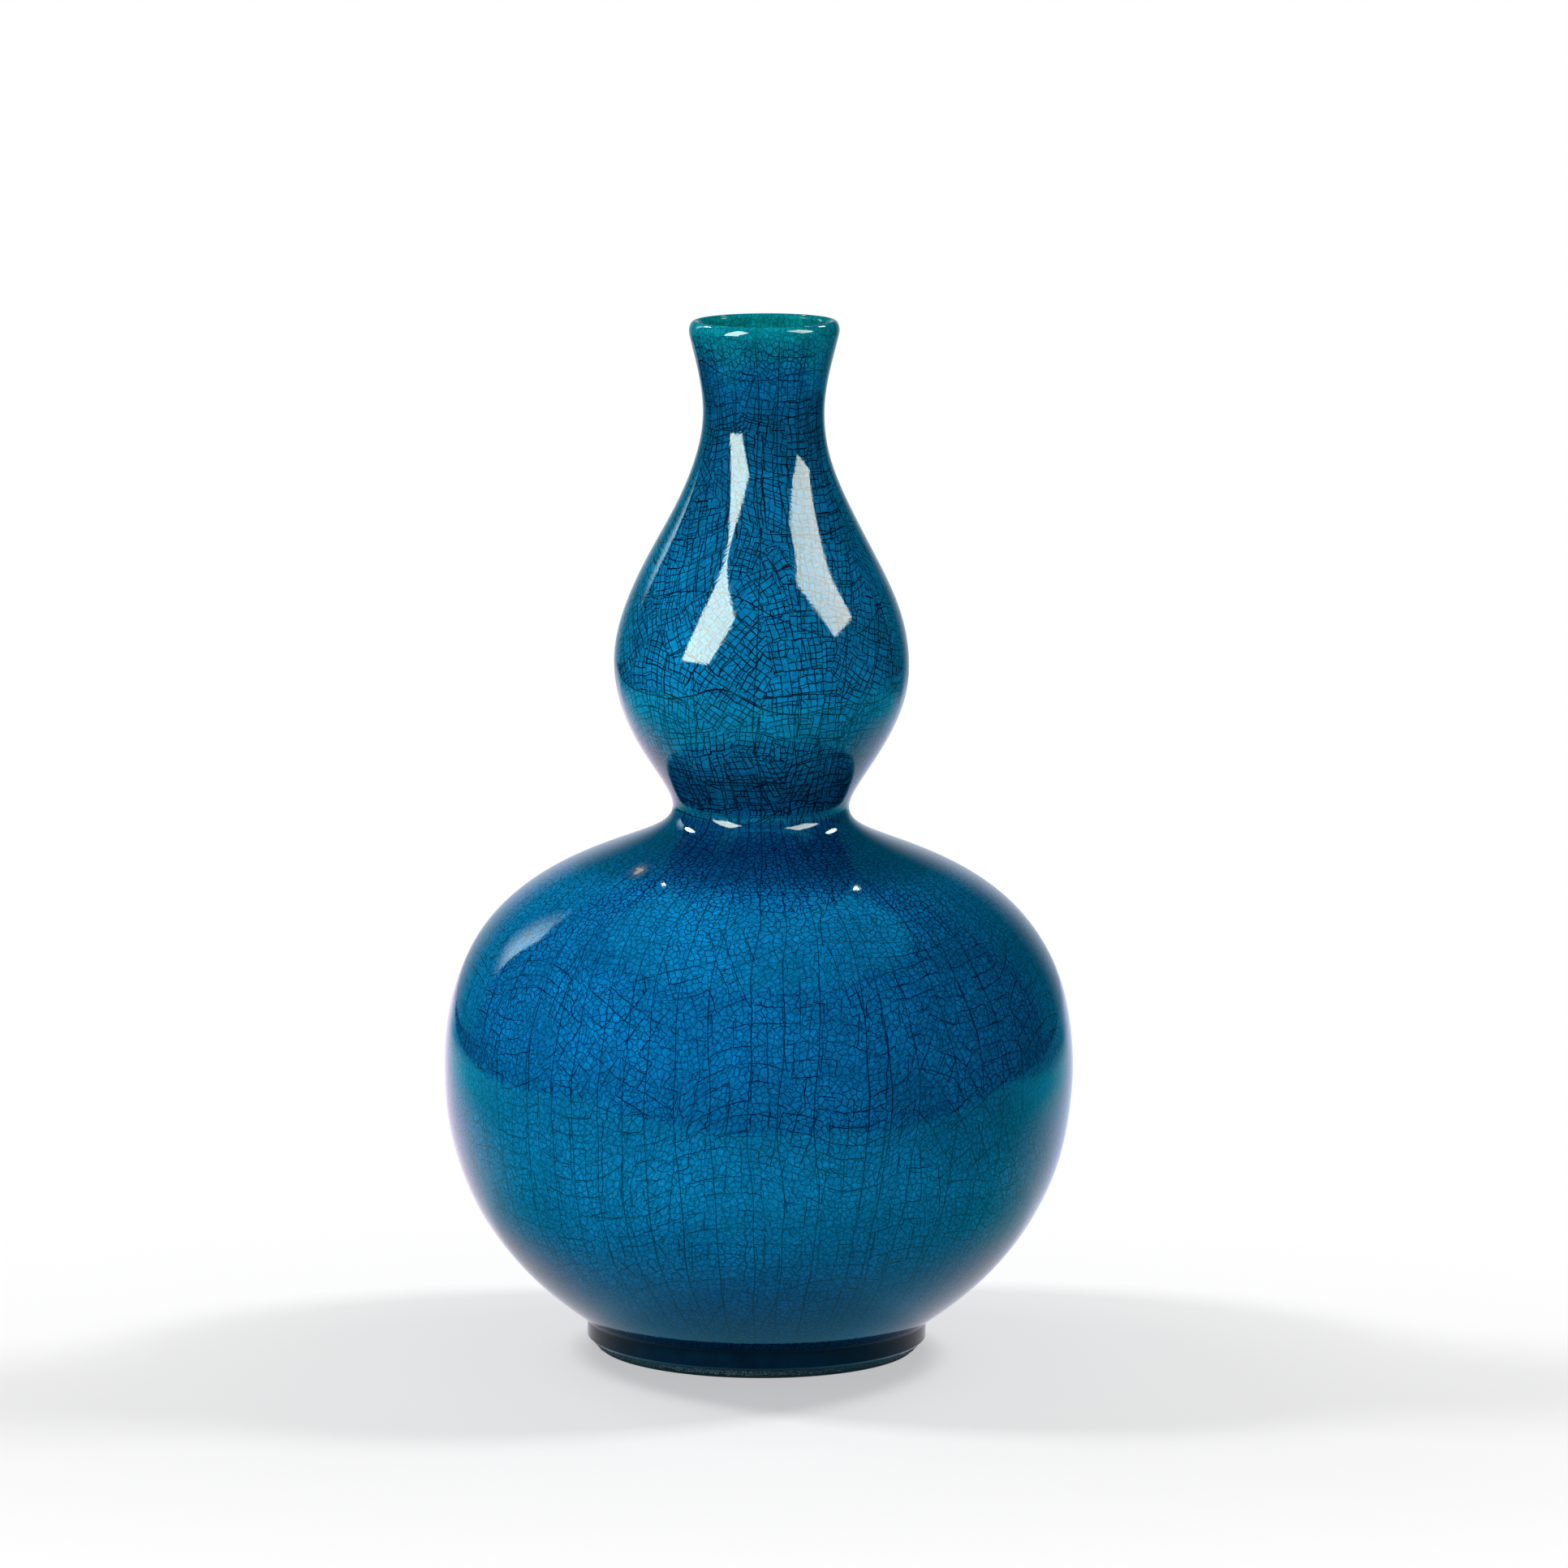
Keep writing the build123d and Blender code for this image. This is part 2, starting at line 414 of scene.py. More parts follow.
def glaze_face(tree, flat):
    """Places on the glaze: millimetres, slow changes, and a grid that is curved, fanned and turned anew in
    each patch. The grid goes round the pot and up, or lies on the plane of a flat face."""
    mm = tree.vector("SCALE", tree.place(), 1000.0)
    x, y, z = tree.split(mm)

    def sway(scale):
        return tree.vector("SUBTRACT", tree.noise(mm, scale, 1.0)[1], (0.5, 0.5, 0.5))

    drift, wave, shake, bend = sway(0.07), sway(0.16), sway(0.7), sway(0.018)
    faint = tree.noise(mm, 0.05, 2.0)[0]
    drifted = tree.vector("ADD", mm, tree.vector("SCALE", drift, PATCH_DRIFT))
    spread = {"Vector": drifted, "Scale": 1.0 / PATCH}
    patch = tree.node("ShaderNodeTexVoronoi", spread, voronoi_dimensions="3D", feature="F1")
    pick_a, pick_b, pick_c = tree.split(patch.outputs["Color"])
    home_x, home_y, home_z = tree.split(patch.outputs["Position"])
    if flat:
        radius = turn = None
        off = tree.math("SUBTRACT", x, home_x)
        upward = y
        lift = tree.math("SUBTRACT", y, home_y)
    else:
        radius = tree.length(x, y)
        turn = tree.math("ARCTAN2", x, tree.times(y, -1.0))
        home_turn = tree.math("ARCTAN2", home_x, tree.times(home_y, -1.0))
        away = tree.math("WRAP", tree.math("SUBTRACT", turn, home_turn), math.pi, -math.pi)
        off = tree.times(away, radius)
        upward = tree.node("ShaderNodeAttribute", attribute_name="along").outputs["Fac"]
        lift = tree.math("SUBTRACT", z, home_z)
    curve = tree.times(tree.math("SUBTRACT", pick_a, 0.5), 0.05)
    fan = tree.times(tree.math("SUBTRACT", pick_b, 0.5), 0.03)
    lean = tree.times(tree.math("SUBTRACT", pick_c, 0.5), 2.0)
    lean = tree.times(lean, lean, lean, 0.6)
    side = tree.times(off, tree.plus(1.0, fan, lift))
    rise = tree.plus(upward, curve, tree.times(off, off))
    bent = {"Vector": tree.join(side, rise), "Angle": lean}
    grid = tree.node("ShaderNodeVectorRotate", bent, rotation_type="Z_AXIS").outputs[0]
    grid = tree.vector("ADD", grid, tree.vector("SCALE", wave, 1.6))
    grid = tree.vector("ADD", grid, tree.vector("SCALE", shake, 0.55))
    return SimpleNamespace(mm=mm, z=z, radius=radius, turn=turn, upward=upward, wave=wave, bend=bend,
                           faint=faint, pick=pick_a, grid=grid)


def block_cracks(tree, face, high_up):
    """Blocks between long cracks, each with a small lattice of its own turn, size and place, and a chord
    through each cell. Distances in millimetres, and random numbers for each stretch of crack and cell."""
    u, v = tree.split(face.grid)[:2]
    block_span = tree.plus(BELLY_BLOCK, high_up, BLOCK - BELLY_BLOCK)
    column_mm, column_mark, column, column_mid = split_line(tree, u, block_span, 0.9)
    row_mm, row_mark, row, row_mid = split_line(tree, v, block_span, 0.9)
    block_turn, block_size, block = tree.chance(column, row, face.pick)
    twist = tree.times(tree.less(0.9, high_up, 0.55), tree.math("SUBTRACT", block_turn, 0.5))
    middle = tree.join(tree.math("SUBTRACT", u, column_mid), tree.math("SUBTRACT", v, row_mid))
    twisted = tree.node("ShaderNodeVectorRotate", {"Vector": middle, "Angle": twist}, rotation_type="Z_AXIS")
    local = tree.vector("ADD", twisted.outputs[0], tree.vector("SCALE", tree.join(block, block_size), 60.0))
    across, along = tree.split(local)[:2]
    small = tree.times(tree.plus(SMALL_CELL, high_up, SMALL_CELL_EXTRA), tree.plus(0.85, block_size, 0.3))
    up_mm, up_mark, up, up_mid = split_line(tree, across, small, 0.85)
    level_mm, level_mark, level, level_mid = split_line(tree, along, small, 0.85)
    way, divided, tone = tree.chance(up, level, block)
    way = tree.times(way, math.pi)
    chord = tree.times(tree.math("SUBTRACT", across, up_mid), tree.math("COSINE", way))
    chord = tree.plus(chord, tree.math("SUBTRACT", along, level_mid), tree.math("SINE", way))
    return SimpleNamespace(
        column_mm=column_mm, column_chance=tree.chance(column_mark, row, face.pick)[0],
        row_mm=row_mm, row_chance=tree.chance(row_mark, column, face.pick)[1],
        up_mm=up_mm, up_chance=tree.chance(up_mark, level, block)[0],
        level_mm=level_mm, level_chance=tree.chance(level_mark, up, block)[1],
        chord_mm=tree.math("ABSOLUTE", chord), divided=divided, tone=tone)


def round_cells(tree, grid, size):
    """Irregular cells: distance to the nearest edge in millimetres, and two random numbers of the cell."""
    inputs = {"Vector": grid, "Scale": 1.0 / size, "Randomness": 1.0}
    edge = tree.node("ShaderNodeTexVoronoi", inputs, voronoi_dimensions="2D", feature="DISTANCE_TO_EDGE")
    inner = tree.node("ShaderNodeTexVoronoi", inputs, voronoi_dimensions="2D", feature="F1")
    tone, line = tree.split(inner.outputs["Color"])[:2]
    return tree.times(edge.outputs["Distance"], size), tone, line


def running_cracks(tree, face):
    """Cracks that run on over all patches, up the pot and round it. Distances in millimetres."""
    above = tree.math("GREATER_THAN", face.z, waist[1])
    count = tree.plus(BELLY_LONG_CRACKS, above, LONG_CRACKS - BELLY_LONG_CRACKS)
    each = tree.math("DIVIDE", 2 * math.pi, count)
    sway = tree.plus(tree.times(tree.split(face.bend)[0], 1.6), tree.split(face.wave)[0], 0.06)
    gap = split_line(tree, tree.math("ADD", tree.math("DIVIDE", face.turn, each), sway), 1.0, 1.0)[0]
    long_mm = tree.times(gap, tree.times(face.radius, each))
    climb = tree.plus(face.upward, tree.split(face.bend)[1], RING_BEND)
    climb = tree.plus(climb, tree.split(face.wave)[1], 0.8)
    return long_mm, split_line(tree, climb, RING_GAP, 1.0)[0]


def crackle(tree, flat):
    """Crackle of the glaze. Patches of the surface each carry a bent lattice of long cracks. Above the waist
    the blocks between these are divided by a small lattice, and many of its cells by one more crack. On the
    belly and at the collar irregular cells show more strongly than this lattice."""
    face = glaze_face(tree, flat)
    high_up = tree.step(face.z, *WAIST_BAND)
    lower_down = tree.math("SUBTRACT", 1.0, high_up)
    shoulder = tree.step(face.z, *SHOULDER_BAND)
    on_shoulder = tree.times(shoulder, lower_down)
    under_bulb = tree.times(tree.step(face.z, *UNDER_BULB_BAND, 1.0, 0.0), high_up)
    collar = tree.step(face.z, *COLLAR_BAND)
    net = block_cracks(tree, face, high_up)
    pebble_mm, pebble_tone, pebble_line = round_cells(tree, face.grid, PEBBLE)
    crumb_mm, crumb_tone, crumb_line = round_cells(tree, face.grid, CRUMB)
    long_mm, ring_mm = (net.column_mm, net.row_mm) if flat else running_cracks(tree, face)

    # How strongly each kind of crack shows; the long ones fade here and there
    long_strength = tree.step(tree.math("ADD", face.faint, tree.split(face.wave)[2]), 0.22, 0.55, 0.5, 1.0)
    column_here = tree.step(net.column_chance, 0.15, 0.45)
    row_here = tree.times(tree.step(net.row_chance, 0.15, 0.45), tree.less(1.0, on_shoulder, 0.85))
    ring_strength = tree.times(tree.less(1.0, lower_down, 0.5), long_strength)
    small_strength = tree.times(tree.plus(0.20, high_up, 0.77), tree.less(1.0, collar, 0.5))
    up_strength = tree.times(tree.step(net.up_chance, 0.06, 0.22), small_strength)
    level_strength = tree.times(tree.step(net.level_chance, 0.06, 0.22), small_strength)
    divided = tree.step(tree.less(net.divided, collar, 0.3), 0.22, 0.40)
    chord_strength = tree.times(divided, tree.times(small_strength, 0.85))
    firm = tree.plus(tree.step(face.faint, 0.35, 0.65, 0.45, 0.70), shoulder, 0.30)
    pebble_strength = tree.times(lower_down, tree.plus(firm, pebble_line, 0.25))
    pebble_strength = tree.math("MAXIMUM", pebble_strength, tree.times(collar, 0.95))
    crumb_strength = tree.times(lower_down, tree.plus(0.05, crumb_line, 0.40))

    # How wide the cracks are
    bold = tree.plus(tree.less(CRACK_WIDTH, collar, 0.025), under_bulb, 0.045)
    width = tree.plus(tree.less(bold, lower_down, 0.050), on_shoulder, 0.055)
    thin = tree.times(width, 0.8)

    def line(distance, width, strength):
        edge = tree.step(distance, tree.times(width, 0.5), tree.times(width, 1.5), 1.0, 0.0)
        return tree.times(edge, strength)

    lines = [
        line(net.column_mm, bold, tree.times(long_strength, column_here)),
        line(net.row_mm, bold, tree.times(long_strength, row_here)),
        line(long_mm, bold, 0.9),
        line(ring_mm, width, ring_strength),
        line(net.up_mm, width, up_strength),
        line(net.level_mm, width, level_strength),
        line(net.chord_mm, thin, chord_strength),
        line(pebble_mm, width, pebble_strength),
        line(crumb_mm, thin, crumb_strength),
    ]
    crack = lines[0]
    for more in lines[1:]:
        crack = tree.math("MAXIMUM", crack, more)

    def by_height(on_belly, above_it):
        return tree.plus(tree.times(on_belly, lower_down), above_it, high_up)

    lattice_mm = tree.math("MINIMUM", net.up_mm, net.level_mm)
    lattice_mm = tree.math("MINIMUM", lattice_mm, tree.math("ADD", net.chord_mm, 0.1))
    soft = by_height(tree.step(pebble_mm, 0.0, 0.32, 0.7, 0.0), tree.step(lattice_mm, 0.0, 0.50, 0.4, 0.0))
    pillow = by_height(tree.step(pebble_mm, 0.0, 0.7), tree.step(lattice_mm, 0.0, 0.7))
    return SimpleNamespace(crack=crack, soft=soft, pillow=pillow, tone=by_height(crumb_tone, net.tone),
                           field=pebble_tone, mm=face.mm, z=face.z, faint=face.faint, high_up=high_up,
                           on_shoulder=on_shoulder)


# Colours of the glaze, with painted shade and a painted highlight at the waist among the body's stops. The
# stops go by height, from the lowest to the highest place of the coat.
CRACK = (0.0, 0.003, 0.012, 1.0)
BELLY_CRACK = (0.0, 0.008, 0.050, 1.0)
GLOSS_TINT = (0.4, 0.95, 1.0, 1.0)
GLOSS_IOR = 1.43
BUMP_DEPTH = 0.00003
BODY_HEIGHTS = (8.0, 300.0)
BODY_STOPS = [
    (0.000, (0.0012, 0.110, 0.365)),
    (0.075, (0.0010, 0.121, 0.355)),
    (0.180, (0.0015, 0.213, 0.500)),
    (0.250, (0.0012, 0.142, 0.356)),
    (0.315, (0.0014, 0.173, 0.448)),
    (0.400, (0.0014, 0.161, 0.406)),
    (0.455, (0.0018, 0.215, 0.540)),
    # Painted shade: from here to the bulb's underside the glaze is darker on both sides of the waist. It
    # stands in for the bulb's shade on the shoulder and for the dark mirror images of shoulder and bulb in
    # each other.
    (0.470, (0.0010, 0.094, 0.263)),
    (0.490, (0.0006, 0.052, 0.160)),
    (0.5152, (0.0009, 0.100, 0.270)),
    # Painted highlight: a thin bright line at the narrowest place of the waist.
    (0.5167, (0.0040, 0.480, 0.700)),
    (0.5182, (0.0009, 0.100, 0.265)),
    (0.545, (0.0012, 0.130, 0.310)),
    (0.582, (0.0016, 0.210, 0.440)),
    (0.620, (0.0018, 0.240, 0.500)),
    (0.657, (0.0020, 0.245, 0.540)),
    (0.830, (0.0018, 0.195, 0.445)),
    (0.895, (0.0016, 0.150, 0.345)),
    (0.953, (0.0016, 0.220, 0.525)),
    (0.983, (0.0020, 0.360, 0.530)),
    (1.000, (0.0030, 0.450, 0.540)),
]
LINING_HEIGHTS = (14.0, 300.0)
LINING_STOPS = [
    (0.0, (0.001, 0.080, 0.090)),
    (0.9, (0.001, 0.235, 0.255)),
    (1.0, (0.002, 0.420, 0.460)),
]
BASE_HEIGHTS = (0.0, 12.0)
BASE_STOPS = [
    (0.0, (0.004, 0.160, 0.240)),
    (1.0, (0.004, 0.190, 0.290)),
]

# Colours of the foot ring, with painted shade on its dark glaze and on its lowest edge, and of the clay
SHADED_POOL_DARK = (0.0006, 0.004, 0.014, 1.0)
SHADED_POOL_PALE = (0.0007, 0.011, 0.030, 1.0)
CRUMB_DARK = (0.006, 0.022, 0.030, 1.0)
CRUMB_LIGHT = (0.20, 0.36, 0.40, 1.0)
CRUMB_PALE = (0.62, 0.80, 0.82, 1.0)
SHADED_BARE_EDGE = (0.006, 0.005, 0.004, 1.0)
FOOT_TINT = (0.6, 0.8, 1.0, 1.0)
FOOT_IOR = 1.25
STONEWARE = ((0.030, 0.026, 0.023), (0.075, 0.062, 0.052))
SLIP = ((0.060, 0.050, 0.042), (0.110, 0.092, 0.078))

# Bare fleck in the glaze of the shoulder, in millimetres
FLECK_MIDDLE = (-34.7, -33.9, 145.2)
FLECK_HALF_WIDTH = 2.6
FLECK_HALF_HEIGHT = 1.1
FLECK_SLANT = 0.35
FLECK_SAND = (0.60, 0.47, 0.34, 1.0)
FLECK_GREY = (0.16, 0.20, 0.22, 1.0)


def bare_fleck(tree, mm, colour):
    """Small place where the glaze is thin, sandy in the middle and grey round it."""
    outward = Vector((FLECK_MIDDLE[0], FLECK_MIDDLE[1], 0.0)).normalized()
    across = Vector((FLECK_MIDDLE[1], -FLECK_MIDDLE[0], 0.0)).normalized()
    from_middle = tree.vector("SUBTRACT", mm, FLECK_MIDDLE)
    side = tree.math("DIVIDE", tree.dot(from_middle, across), FLECK_HALF_WIDTH)
    rise = tree.math("DIVIDE", tree.split(from_middle)[2], FLECK_HALF_HEIGHT)
    rise = tree.less(rise, side, FLECK_SLANT)
    reach = tree.plus(tree.length(side, rise), tree.noise(mm, 0.9, 3.0, 0.6)[0], 1.6)
    far_side = tree.step(tree.dot(from_middle, outward), -20.0, -10.0, 5.0, 0.0)
    reach = tree.math("ADD", reach, far_side)
    colour = tree.mix(tree.step(reach, 1.5, 2.5, 0.35, 0.0), colour, FLECK_GREY)
    return tree.mix(tree.step(reach, 1.15, 1.5, 0.9, 0.0), colour, FLECK_SAND)


def glaze_material(name, stops, heights, flat=False, uneven=1.0, fleck=False):
    """Glossy crackled glaze. The stops give the colour of the cells by height, including the painted shade
    and highlight of the body's stops.
    """
    material = bpy.data.materials.new(name)
    tree = Tree(material)
    net = crackle(tree, flat)
    share = tree.math("DIVIDE", tree.math("SUBTRACT", net.z, heights[0]), heights[1] - heights[0])
    blotch = tree.step(net.faint, 0.35, 0.68, 0.88, 1.10)
    shade = tree.times(blotch, tree.times(tree.plus(0.88, net.tone, 0.24), tree.plus(0.93, net.field, 0.14)))
    shade = tree.times(shade, tree.step(net.soft, 0.0, 1.0, 1.24, 0.58))
    calm = tree.times(net.high_up, 0.10)
    grain = tree.noise(net.mm, 0.85, 2.0, 0.6)[0]
    grain = tree.step(grain, 0.3, 0.7, tree.math("ADD", 0.80, calm), tree.math("SUBTRACT", 1.20, calm))
    cells = tree.vector("SCALE", tree.ramp(share, stops), tree.times(shade, grain))
    crack = tree.times(net.crack, tree.step(net.z, *LIP_BAND, 1.0, 0.5))
    colour = tree.mix(crack, cells, tree.mix(net.high_up, BELLY_CRACK, CRACK))
    if fleck:
        colour = bare_fleck(tree, net.mm, colour)
    fine = tree.noise(net.mm, 1.6, 2.0)[0]
    broad = tree.noise(net.mm, 0.16, 1.0)[0]
    relief = tree.plus(tree.times(net.crack, -0.04), fine, 0.02)
    relief = tree.plus(relief, net.pillow, 0.10)
    relief = tree.plus(relief, broad, 0.5)
    relief = tree.times(relief, tree.step(net.z, *SMOOTH_BAND, uneven, 0.0))
    relief = tree.times(relief, tree.less(1.0, net.on_shoulder, 0.6))
    rough = tree.plus(0.03, net.crack, 0.03)
    tree.finish(colour, rough, relief, 1.0, BUMP_DEPTH, GLOSS_IOR, GLOSS_TINT)
    return material


def foot_material():
    """Dark pooled glaze of the foot ring, painted near black as painted shade under the belly's overhang,
    with a rough speckled lower edge whose lowest rim is painted near black as painted shade on the bare
    clay.
    """
    material = bpy.data.materials.new("foot_glaze")
    tree = Tree(material)
    mm = tree.vector("SCALE", tree.place(), 1000.0)
    wander = tree.noise(mm, 0.12, 3.0, 0.6)[0]
    grain = tree.noise(mm, 1.3, 3.0, 0.65)[0]
    speck = tree.noise(mm, 2.6, 2.0, 0.6)[0]
    edge = tree.plus(tree.split(mm)[2], tree.math("SUBTRACT", wander, 0.5), 2.2)
    edge = tree.plus(edge, tree.math("SUBTRACT", grain, 0.5), 1.6)
    rough_zone = tree.step(edge, 2.35, 2.75, 1.0, 0.0)
    # Painted shade: the ring's glaze is near black, standing in for the shade under the belly's overhang.
    shaded_pool = tree.mix(tree.step(wander, 0.35, 0.65), SHADED_POOL_DARK, SHADED_POOL_PALE)
    crumbs = tree.mix(tree.step(speck, 0.42, 0.60), CRUMB_DARK, CRUMB_LIGHT)
    crumbs = tree.mix(tree.step(grain, 0.60, 0.72), crumbs, CRUMB_PALE)
    colour = tree.mix(rough_zone, shaded_pool, crumbs)
    # Painted shade: the lowest rim of the edge is near black, standing in for the bare clay bevel in shade.
    colour = tree.mix(tree.step(edge, 0.9, 1.3, 0.95, 0.0), colour, SHADED_BARE_EDGE)
    rough = tree.plus(0.10, rough_zone, 0.5)
    tree.finish(colour, rough, tree.times(grain, rough_zone), 0.8, 0.0003, FOOT_IOR, FOOT_TINT)
    return material


def clay_material(name, dark, light):
    """Matte fired clay with grog and pinholes."""
    material = bpy.data.materials.new(name)
    tree = Tree(material)
    mm = tree.vector("SCALE", tree.place(), 1000.0)
    body = tree.noise(mm, 0.3, 4.0, 0.6)[0]
    grog = tree.noise(mm, 2.2, 2.0, 0.6)[0]
    colour = tree.mix(tree.step(body, 0.3, 0.7), (*dark, 1.0), (*light, 1.0))
    colour = tree.mix(tree.step(grog, 0.58, 0.66, 0.0, 0.5), colour, (*[c * 0.35 for c in dark], 1.0))
    tree.finish(colour, 0.85, grog, 0.6, 0.0002)
    return material


outer_material = glaze_material("outer_glaze", BODY_STOPS, BODY_HEIGHTS, fleck=True)
inner_material = glaze_material("inner_glaze", LINING_STOPS, LINING_HEIGHTS, uneven=0.15)
base_material = glaze_material("base_glaze", BASE_STOPS, BASE_HEIGHTS, flat=True)
ring_material = foot_material()
stoneware = clay_material("stoneware", *STONEWARE)
slip = clay_material("slip", *SLIP)

# Outer glaze: ring wall, pooled angle, body, lip, and the back of the coat where it meets the clay
corner = (FOOT_RADIUS, junction[1] - FLARE_OUT * math.tan(FLARE_SLOPE))
pool_low = (FOOT_RADIUS, corner[1] - FILLET_REACH)
pool_high = (corner[0] + FILLET_REACH * math.cos(FLARE_SLOPE),
             corner[1] + FILLET_REACH * math.sin(FLARE_SLOPE))
ring_rise = pool_low[1] - FOOT_BEVEL_RISE
ring_face = [(FOOT_RADIUS, FOOT_BEVEL_RISE + ring_rise * i / RING_STEPS) for i in range(RING_STEPS)]
ring_face += bezier([pool_low, corner, pool_high], POOL_STEPS) + bezier([pool_high, junction], FLARE_STEPS)
body_face = body_outline()
body_back = moved(body_face, lambda z: GLAZE)
ring_wall = FOOT_RADIUS - GLAZE
base_edge = (body_back[0][0] - (body_back[0][1] - FOOT_HEIGHT) / math.tan(FLARE_SLOPE), FOOT_HEIGHT)
ring_back = [base_edge, (ring_wall, FOOT_HEIGHT), (ring_wall, FOOT_BEVEL_RISE)]
cut = next(i for i in range(STRETCH_STEPS, len(body_face)) if body_face[i][0] < NECK_OF_SHOULDER)
lower_face = ring_face + body_face[:cut + 1]
lower_length = sum(math.dist(a, b) for a, b in zip(lower_face, lower_face[1:]))
lower_back = body_back[cut::-4] + ring_back
ring_faces = len(ring_face) - FLARE_STEPS
coat_materials = [outer_material, ring_material]
lower = turned("outer_glaze_belly", lower_face + lower_back, coat_materials, lambda i: int(i < ring_faces))
lip_top = lip[1] + lip_round
collar_face = [p for p in body_face[cut:] if p[1] < lip_top - LIP_OUTSIDE_RISE]
below, start = collar_face[-2:]
flare = (start[0] - below[0]) / (start[1] - below[1])
leave = (start[0] + flare * LIP_FULLNESS[0], start[1] + LIP_FULLNESS[0])
arrive = (lip_centre + LIP_FULLNESS[1], lip_top)
outside_lip = bezier([start, leave, arrive, (lip_centre, lip_top)], ARC_STEPS)[1:] + [(lip_centre, lip_top)]
under_lip = lip_arc(lip_round - GLAZE, math.pi / 2, 0.1, UNDER_ARC_STEPS)
upper_face = collar_face + outside_lip
upper_back = under_lip + body_back[cut:][::-4] + [body_back[cut]]
upper = turned("outer_glaze_bulb", upper_face + upper_back, [outer_material], start=lower_length)
for coat in (lower, upper):
    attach(coat, "root")
    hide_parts("outer_glaze")

# Inner glaze: from the top of the lip down over the floor, with its back on the clay
depth_face = moved(body_face, lambda z: 2 * GLAZE + wall_at(z))
depth_back = moved(body_face, lambda z: GLAZE + wall_at(z))


def floor_points(start, steps):
    """Section of the floor inside, from the wall to the axis."""
    level = start[1] - FLOOR_ROUND
    bend = (start[0] - FLOOR_ROUND / math.tan(FLARE_SLOPE), level)
    return bezier([start, bend, (0.0, level)], steps)[1:] + [(0.0, level)]


inside_lip = lip_arc(lip_round, math.pi / 2, math.pi, ARC_STEPS)
inside_lip_back = lip_arc(lip_round - GLAZE, math.pi, math.pi / 2, UNDER_ARC_STEPS)
lining_face = inside_lip + depth_face[-3::-2] + floor_points(depth_face[0], FLOOR_STEPS)
lining_back = floor_points(depth_back[0], FLOOR_STEPS)[::-1] + depth_back[:-2:4] + inside_lip_back
inner = turned("inner_glaze_coat", lining_face + lining_back, [inner_material])
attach(inner, "root")
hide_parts("inner_glaze")


def crumbly(x, y, z):
    """Uneven lower edge of the glaze on the bevel of the ring, kept inside the ring's outline."""
    turn = math.atan2(x, -y)
    radius = math.hypot(x, y)
    wander = math.sin(7 * turn + 0.4) + 0.7 * math.sin(17 * turn + 1.9) + 0.5 * math.sin(41 * turn + 0.7)
    grain = math.sin(97 * turn + 5.0 * z) * math.sin(61 * turn - 3.0 * z)
    low = clamp((FOOT_BEVEL_RISE - z) / (FOOT_BEVEL_RISE - CRUST_LOW))
    proud = (CRUST_WANDER * wander + CRUST_GRAIN * grain - CRUST_SINK) * min(4 * low * (1.15 - low), 1.0)
    return x * (1 + proud / radius), y * (1 + proud / radius), z + CRUST_RAGGED * wander * low


tread_outer = ring_wall - FOOT_BEVEL_IN
bevel_run = (ring_wall - tread_outer) / (FOOT_BEVEL_RISE - FOOT_EDGE_BREAK)


def bevel_at(z):
    """Radius of the clay bevel at a height."""
    return tread_outer + bevel_run * (z - FOOT_EDGE_BREAK)


crust_rise = FOOT_BEVEL_RISE - CRUST_LOW
crust_levels = [CRUST_LOW + crust_rise * i / CRUST_STEPS for i in range(CRUST_STEPS + 1)]


def crust_at(z):
    """Thickness of the glaze edge at a height."""
    return GLAZE * (CRUST_THIN + (1 - CRUST_THIN) * (z - CRUST_LOW) / crust_rise)


crust_face = [(bevel_at(z) + crust_at(z), z) for z in crust_levels]
crust_back = [(bevel_at(z) + CRUST_GAP, z) for z in crust_levels[::-2]]
crust = turned("glaze_edge_crust", crust_face + crust_back, [ring_material], shape=crumbly)
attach(crust, "root")
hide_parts("glaze_edge")

# Finishes of the CAD nodes that stay
for name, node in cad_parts.items():
    if name in ("outer_glaze", "inner_glaze", "glaze_edge"):
        continue
    finish = slip if name.endswith("_slip") else base_material if name == "base_glaze" else stoneware
    node.data.materials.clear()
    node.data.materials.append(finish)

# Floor: a pale table top in metres that turns to white away from the vase, and its colours in the gloss
TABLE = [(-0.62, -0.385), (0.10, -0.385), (0.95, 0.083), (0.95, 1.60), (-0.62, 1.60)]
FLOOR_LIFT = 0.49
SHADOW_STRETCH = 0.62
SHADOW_FADE = (0.14, 0.32)
BEHIND_FADE = (0.10, 0.25)
TABLE_PAINT = (0.90, 0.90, 0.90, 1.0)
BOUNCE_PAINT = (0.35, 0.35, 0.35, 1.0)
WHITE = (1.0, 1.0, 1.0, 1.0)
BLACK = (0.0, 0.0, 0.0, 1.0)
FOOT_MIRROR = (0.26, 0.98, 1.40, 1.0)
FRONT_MIRROR = (0.03, 0.92, 1.00, 1.0)
GRAZED_MIRROR = (1.00, 1.00, 1.08, 1.0)
FAR_MIRROR = (0.02, 0.52, 0.72, 1.0)
FAR_MIRROR_RIGHT = (0.02, 0.30, 0.45, 1.0)
LEFT_TINT = (1.38, 1.22, 1.37, 1.0)
RIGHT_TINT = (0.85, 0.95, 1.15, 1.0)
SIDES = (-0.10, 0.10)
NEAR_SPAN = (0.05, 0.14)
WIDE_SPAN = (0.14, 0.56)


